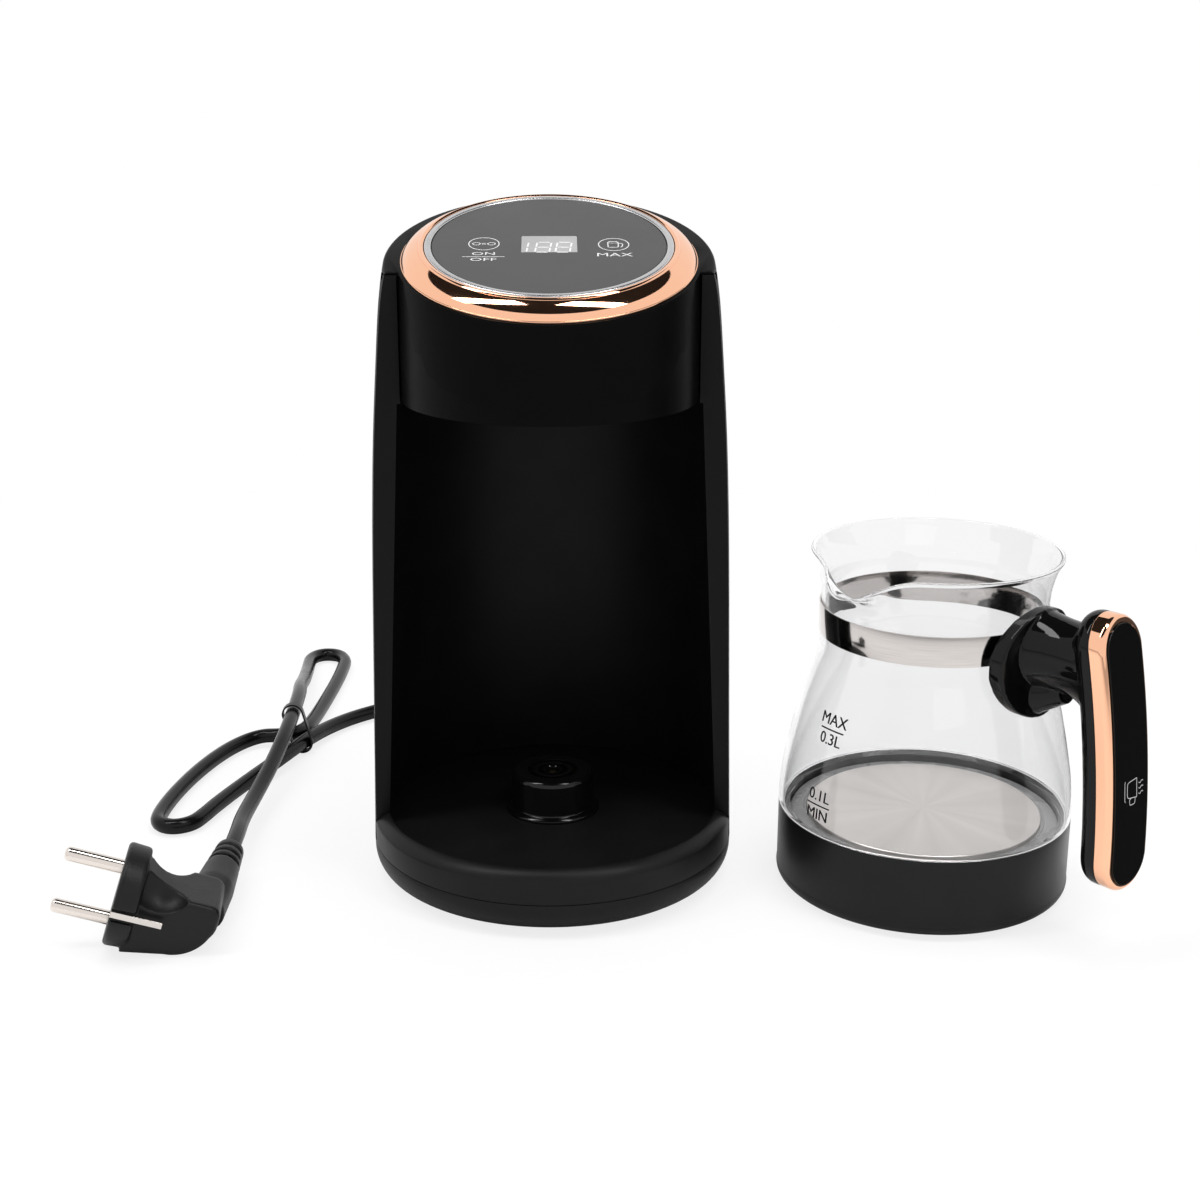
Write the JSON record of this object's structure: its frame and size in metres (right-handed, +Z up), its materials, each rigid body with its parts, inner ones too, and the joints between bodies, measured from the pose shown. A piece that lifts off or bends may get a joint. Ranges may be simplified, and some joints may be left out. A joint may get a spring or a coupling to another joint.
{
  "type": "electric turkish coffee maker",
  "caption": "Docking coffee maker with a tilted touch panel, a heated glass carafe with lip and upright handle beside it, and a mains lead with an angled earthed plug.",
  "frame": {"origin": "on the tabletop, on the vertical axis of the dock's round pedestal", "axes": "+Z up, -Y out of the open front of the bay, +X towards the carafe that stands beside the base unit"},
  "size_m": [0.3579, 0.3137, 0.2352],
  "materials": {
    "matte_black": "fine matt moulding",
    "satin_black": "satin moulding",
    "gloss_black": "high gloss moulding",
    "rose_gold": "plated rose gold, polished",
    "bright_silver": "plated silver",
    "panel_grey": "fine textured dark grey",
    "display_smoke": "smoked window",
    "rubber_black": "soft rubber",
    "cord_black": "black cable sheath",
    "steel_screw": "zinc plated steel",
    "pin_nickel": "nickel plated",
    "contact_brass": "bare brass",
    "board_green": "circuit board",
    "component_black": "moulded component",
    "component_blue": "sleeved component",
    "component_orange": "wound component",
    "aluminium": "rolled aluminium",
    "wire_insulation": "wire insulation",
    "clear_glass": "clear blown glass",
    "band_steel": "polished steel band",
    "plate_steel": "radially brushed steel",
    "seal_silicone": "translucent grey silicone",
    "element_steel": "sheathed tube",
    "ceramic_white": "insulating ceramic"
  },
  "bodies": {
    "base_unit": {"base_pan": "matte_black", "rubber_feet": "rubber_black", "base_screws": "steel_screw", "base_tray": "matte_black", "dock_pedestal": "satin_black", "dock_contacts": "contact_brass", "dock_terminals": "component_black", "bay_liner": "matte_black", "back_shell": "matte_black", "head_cover": "matte_black", "head_ceiling": "matte_black", "steam_sensor": "satin_black", "silver_rim": "bright_silver", "rose_ring": "rose_gold", "control_panel": "panel_grey", "display_window": "display_smoke", "panel_carrier": "component_black", "carrier_screws": "steel_screw", "control_board": "board_green", "board_screws": "steel_screw", "display_module": "component_black", "touch_springs": "contact_brass", "buzzer": "component_black", "power_board": "board_green", "power_board_screws": "steel_screw", "power_relay": "component_blue", "supply_transformer": "component_orange", "filter_capacitor": "component_blue", "heat_sink_triac": "aluminium", "control_harness": "wire_insulation", "dock_harness": "wire_insulation", "terminal_block": "ceramic_white", "supply_cores": "wire_insulation", "gland": "cord_black", "mains_cord": "cord_black", "cord_tie": "satin_black", "plug_body": "cord_black", "plug_pins": "pin_nickel", "plug_earth_strips": "pin_nickel"},
    "carafe": {"carafe_glass": "clear_glass", "carafe_band": "band_steel", "heating_plate": "plate_steel", "plate_seal": "seal_silicone", "carafe_base_cup": "satin_black", "carafe_base_cover": "matte_black", "cover_screws": "steel_screw", "carafe_coupler": "component_black", "coupler_contacts": "contact_brass", "heat_spreader": "aluminium", "heating_element": "element_steel", "thermal_sensor": "ceramic_white", "carafe_wires": "wire_insulation", "handle_body": "gloss_black", "handle_trim": "rose_gold", "handle_insert": "gloss_black", "handle_screw": "steel_screw"}
  },
  "joints": [
    {"name": "carafe_lift", "type": "slide", "parent": "base_unit", "child": "carafe", "axis": [0, 0, 1], "range_m": [0, 0.245]}
  ]
}
